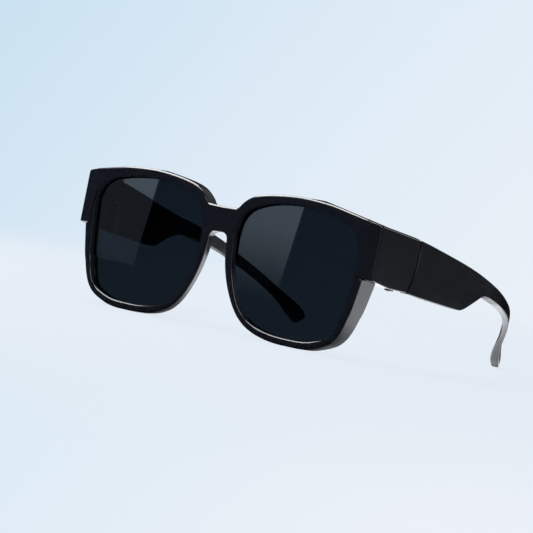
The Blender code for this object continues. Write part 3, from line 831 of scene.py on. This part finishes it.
dress(makeFront(), plastic, "front", "black_plastic", "front_frame")
print("front made")
for side, mirrored in (("left", False), ("right", True)):
    dress(makeArm(f"{side}_arm", mirrored), plastic, f"{side}_arm", "black_plastic", f"{side}_temple")
    dress(makeLens(f"{side}_tinted_lens", mirrored), tint, "front", "lens_tint", f"{side}_lens")
    print(side, "arm and lens made")
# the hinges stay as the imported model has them, and take the steel
for name, item in frame["nodes"].items():
    if "leaf" in name or "screw" in name:
        for spot in item.material_slots:
            spot.material = steel
print("hinges finished")

# the studio: a backdrop, a pale floor that gloss sees bright behind the glasses, and soft light all round
studio = {
    "backdrop": (
        (0.00, (0.839, 0.880, 0.930)),
        (0.50, (0.730, 0.830, 0.922)),
        (1.00, (0.545, 0.730, 0.868)),
    ),
    "backdropWay": (-0.654, -0.535, 0.535),  # the backdrop's tones change this way
    "backdropEnds": (-0.150, 0.105),
    "fillTone": (0.85, 0.92, 1.0),
    "fill": 0.30,
    "floorSize": 6.0,
    "floorTone": (0.78, 0.85, 0.925),
    "floorGlow": 0.92,
    "floorShade": (0.025, 0.026, 0.027),  # the part of the floor that takes the soft shadow
    "floorDull": (0.6, 0.65, 0.7),  # the floor as it lights the object from below
    "floorFade": (0.22, 0.60),  # how far out the floor gives way to the backdrop
    "glossTone": (0.93, 0.96, 1.0),
    "floorGloss": 2.7,
    "glossFade": (0.30, 0.48),  # how far out the gloss dies away
    "glossFront": (-0.065, -0.030),
    "glossBack": (0.050, 0.105),
    "backGloss": 0.17,
    "glossAside": (0.040, 0.075),
    "asideGloss": 0.35,
    "lampAim": (0.0, 0.02, 0.0),
}


def glowing(tree, colour, strength=1.0):
    return node(tree, "ShaderNodeEmission", Color=(*colour, 1), Strength=strength)


def added(tree, one, other):
    return fed(tree, tree.nodes.new("ShaderNodeAddShader"), one, other)


def mixed(tree, one, other, share):
    # one shader where the share is 0 and the other where it is 1
    return fed(tree, tree.nodes.new("ShaderNodeMixShader"), share, one, other)


def reckoned(tree, operation, one, other):
    return fed(tree, node(tree, "ShaderNodeMath", operation=operation), one, other)


def lightPath(tree, *labels):
    # 1 for any of these kinds of ray
    path = tree.nodes.new("ShaderNodeLightPath")
    total = path.outputs[labels[0]]
    for label in labels[1:]:
        total = reckoned(tree, "MAXIMUM", total, path.outputs[label])
    return total


def outputOf(tree):
    return next(n for n in tree.nodes if n.type.startswith("OUTPUT_"))


def floorGloss(tree, parts, away):
    # bright behind the glasses, none in front of them, dimmer far behind them and to one side
    strength = faded(tree, away, studio["glossFade"], (studio["floorGloss"], 0))
    across = reckoned(tree, "SUBTRACT", parts["Y"], parts["X"])
    for source, ends, values in (
        (parts["Y"], studio["glossFront"], (0, 1)),
        (parts["Y"], studio["glossBack"], (1, studio["backGloss"])),
        (across, studio["glossAside"], (1, studio["asideGloss"])),
    ):
        strength = reckoned(tree, "MULTIPLY", strength, faded(tree, source, ends, values))
    gloss = glowing(tree, studio["glossTone"])
    tree.links.new(strength, gloss.inputs["Strength"])
    return gloss.outputs[0]


def makeFloor():
    # the camera sees a pale glow with the object's soft shadow, clear far off, where the backdrop shows
    made = bmesh.new()
    bmesh.ops.create_grid(made, x_segments=1, y_segments=1, size=studio["floorSize"] / 2)
    floor = objectFrom("floor", made)
    look, tree, shader = newMaterial("pale_floor")
    tree.nodes.remove(shader)
    place, parts = placeOn(tree)
    length = node(tree, "ShaderNodeVectorMath", operation="LENGTH")
    fed(tree, length, place)
    away = length.outputs["Value"]
    seen = glowing(tree, studio["floorTone"], studio["floorGlow"])
    shade = node(tree, "ShaderNodeBsdfDiffuse", Color=(*studio["floorShade"], 1))
    dull = node(tree, "ShaderNodeBsdfDiffuse", Color=(*studio["floorDull"], 1))
    clear = tree.nodes.new("ShaderNodeBsdfTransparent")
    near = added(tree, seen.outputs[0], shade.outputs[0])
    shown = mixed(tree, near, clear.outputs[0], faded(tree, away, studio["floorFade"]))
    gloss = floorGloss(tree, parts, away)
    rays = mixed(tree, dull.outputs[0], gloss, lightPath(tree, "Is Glossy Ray"))
    rays = mixed(tree, rays, shown, lightPath(tree, "Is Camera Ray", "Is Transmission Ray"))
    tree.links.new(rays, outputOf(tree).inputs["Surface"])
    floor.data.materials.append(look)


def makeWorld():
    # the camera sees the backdrop's slanted tones, and the object gets a soft fill without gloss
    world = bpy.data.worlds.new("studio")
    bpy.context.scene.world = world
    world.use_nodes = True
    tree = world.node_tree
    tree.nodes.clear()
    out = tree.nodes.new("ShaderNodeOutputWorld")
    way = tree.nodes.new("ShaderNodeTexCoord")
    lean = node(tree, "ShaderNodeVectorMath", operation="DOT_PRODUCT")
    lean.inputs[1].default_value = studio["backdropWay"]
    fed(tree, lean, way.outputs["Generated"])
    tones = tree.nodes.new("ShaderNodeValToRGB")
    stops = tones.color_ramp.elements
    stops.new(studio["backdrop"][1][0])
    for stop, (place, colour) in zip(stops, studio["backdrop"]):
        stop.position = place
        stop.color = (*colour, 1)
    backdrop = fed(tree, tones, ramped(tree, lean.outputs["Value"], studio["backdropEnds"]))
    seen = fed(tree, tree.nodes.new("ShaderNodeBackground"), backdrop)
    soft = node(tree, "ShaderNodeBackground", Color=(*studio["fillTone"], 1), Strength=studio["fill"])
    none = node(tree, "ShaderNodeBackground", Strength=0.0)
    rays = mixed(tree, soft.outputs[0], none.outputs[0], lightPath(tree, "Is Glossy Ray"))
    rays = mixed(tree, rays, seen, lightPath(tree, "Is Camera Ray", "Is Transmission Ray"))
    tree.links.new(rays, out.inputs["Surface"])


# each softbox: the way to it, how far off, its two sides and the strength of its surface
softboxes = {
    "overhead_key": ((-0.55, -0.05, 0.82), 0.75, (0.80, 0.50), 12.0),
    "brow_top": ((-0.12, -0.13, 0.98), 0.75, (0.24, 0.26), 12.0),
    "front_strip": ((0.50, -0.56, 0.62), 0.75, (0.18, 0.68), 6.0),
    "front_low": ((0.76, -0.61, 0.01), 0.75, (0.20, 0.30), 0.85),
    "side_low": ((0.62, 0.78, 0.00), 0.85, (1.10, 0.40), 0.13),
    "rear_wide": ((-0.05, 0.79, 0.58), 0.85, (0.90, 0.36), 0.18),
    "rear_side": ((0.38, 0.79, 0.44), 0.85, (0.30, 0.42), 1.4),
}


def makeSoftbox(name, way, distance, size, glow):
    # an area lamp whose surface glows at a plain strength, whatever its size
    data = bpy.data.lights.new(name, "AREA")
    data.shape = "RECTANGLE"
    data.size, data.size_y = size
    data.energy = glow * math.pi * size[0] * size[1]
    lamp = bpy.data.objects.new(name, data)
    bpy.context.scene.collection.objects.link(lamp)
    lamp.location = axes @ (Vector(way).normalized() * distance)
    aim = axes @ Vector(studio["lampAim"]) - lamp.location
    lamp.rotation_euler = aim.to_track_quat("-Z", "Y").to_euler()
    lamp.visible_camera = False


# a dim card in front whose edge the right lens mirrors
mirrorCard = {
    "depth": -0.30,
    "heights": (-0.060, 0.040),
    "rightEdge": (-0.3334, -0.3124),
    "wide": 0.085,
    "colour": (0.65, 0.78, 1.0),
    "fade": (-0.060, -0.034),
    "glow": 0.26,
}

# a painted reflection: a glow behind each lens, seen only through it, stands in for the reflection on the
# lenses;
# its right edge low and high, its width, where it starts and where it is full, and its strength
lensReflectionGlows = {
    "depth": 0.24,
    "heights": (-0.040, 0.040),
    "colour": (1.0, 0.76, 0.62),
    "sides": {
        "right": ((-0.2436, -0.2337), 0.055, (-0.008, 0.022), 5.5),
        "left": ((-0.1521, -0.1410), 0.045, (-0.026, 0.022), 5.4),
    },
}


def upright(name, sheet, rightEdge, wide):
    # an upright sheet whose right edge leans from its lower to its upper end
    made = bmesh.new()
    depth = sheet["depth"]
    low, high = sheet["heights"]
    lowRight, highRight = rightEdge
    corners = ((lowRight, low), (highRight, high), (highRight - wide, high), (lowRight - wide, low))
    made.faces.new([made.verts.new((x, depth, z)) for x, z in corners])
    bmesh.ops.transform(made, matrix=axes, verts=made.verts)
    item = objectFrom(name, made)
    look, tree, shader = newMaterial(name)
    tree.nodes.remove(shader)
    item.data.materials.append(look)
    item.visible_camera = False
    item.visible_diffuse = False
    item.visible_shadow = False
    return item, tree


def glowFrom(tree, sheet, ends, strength):
    # no glow under the lower of two heights on the sheet, the full one above the upper one
    heights = [(axes @ Vector((0, sheet["depth"], end))).z for end in ends]
    glow = glowing(tree, sheet["colour"])
    tree.links.new(faded(tree, placeOn(tree)[1]["Z"], heights, (0, strength)), glow.inputs["Strength"])
    return glow.outputs[0]


def makeMirrorCard(lenses):
    card, tree = upright("mirror_card", mirrorCard, mirrorCard["rightEdge"], mirrorCard["wide"])
    glow = glowFrom(tree, mirrorCard, mirrorCard["fade"], mirrorCard["glow"])
    tree.links.new(glow, outputOf(tree).inputs["Surface"])
    card.visible_transmission = False
    card.light_linking.receiver_collection = lenses


def makeLensReflectionGlow(name, rightEdge, wide, ends, strength):
    # a painted reflection on the lens: adds its light to what stands behind it, seen only through the
    # tinted lenses
    item, tree = upright(name, lensReflectionGlows, rightEdge, wide)
    clear = tree.nodes.new("ShaderNodeBsdfTransparent")
    both = added(tree, clear.outputs[0], glowFrom(tree, lensReflectionGlows, ends, strength))
    tree.links.new(both, outputOf(tree).inputs["Surface"])
    item.visible_glossy = False


makeFloor()
makeWorld()
lensGroup = bpy.data.collections.new("lenses_lit_by_cards")
for side in ("left", "right"):
    lensGroup.objects.link(bpy.data.objects[f"{side}_tinted_lens"])
makeMirrorCard(lensGroup)
# the glowing sheets that paint the reflection seen in each lens
for side, values in lensReflectionGlows["sides"].items():
    makeLensReflectionGlow(f"{side}_lens_reflection_glow", *values)
for name, values in softboxes.items():
    makeSoftbox(name, *values)
print("studio made")

# the camera stands where the photograph was taken from, turned a little off level
view = {
    "azimuth": math.radians(38.20),
    "elevation": math.radians(0.55),
    "roll": math.radians(11.32),
    "distance": 1.1705,
    "focalPixels": 3000.0,
    "picturePixels": 533.0,
    "centreRight": 46.1,  # pixels from the origin to the middle of the picture
    "centreUp": -16.8,
    "sensorMillimetres": 36.0,
    "clipStart": 0.01,
}


def makeCamera():
    az, el, roll = view["azimuth"], view["elevation"], view["roll"]
    back = Vector((math.sin(az) * math.cos(el), -math.cos(az) * math.cos(el), math.sin(el)))
    level = (-back).cross(Vector((0, 0, 1))).normalized()
    above = level.cross(-back)
    right = level * math.cos(roll) + above * math.sin(roll)
    up = above * math.cos(roll) - level * math.sin(roll)
    focal = view["focalPixels"]
    ahead = (-back + right * view["centreRight"] / focal + up * view["centreUp"] / focal).normalized()
    right = (right - ahead * right.dot(ahead)).normalized()
    up = right.cross(ahead)
    data = bpy.data.cameras.new("photo_view")
    data.sensor_width = view["sensorMillimetres"]
    data.lens = data.sensor_width * focal / view["picturePixels"]
    data.clip_start = view["clipStart"]
    camera = bpy.data.objects.new("photo_view", data)
    bpy.context.scene.collection.objects.link(camera)
    turn = Matrix((right, up, -ahead)).transposed().to_4x4()
    camera.matrix_world = axes @ Matrix.Translation(back * view["distance"]) @ turn
    bpy.context.scene.camera = camera


makeCamera()
bpy.context.scene.view_settings.view_transform = "Standard"
print("camera set")
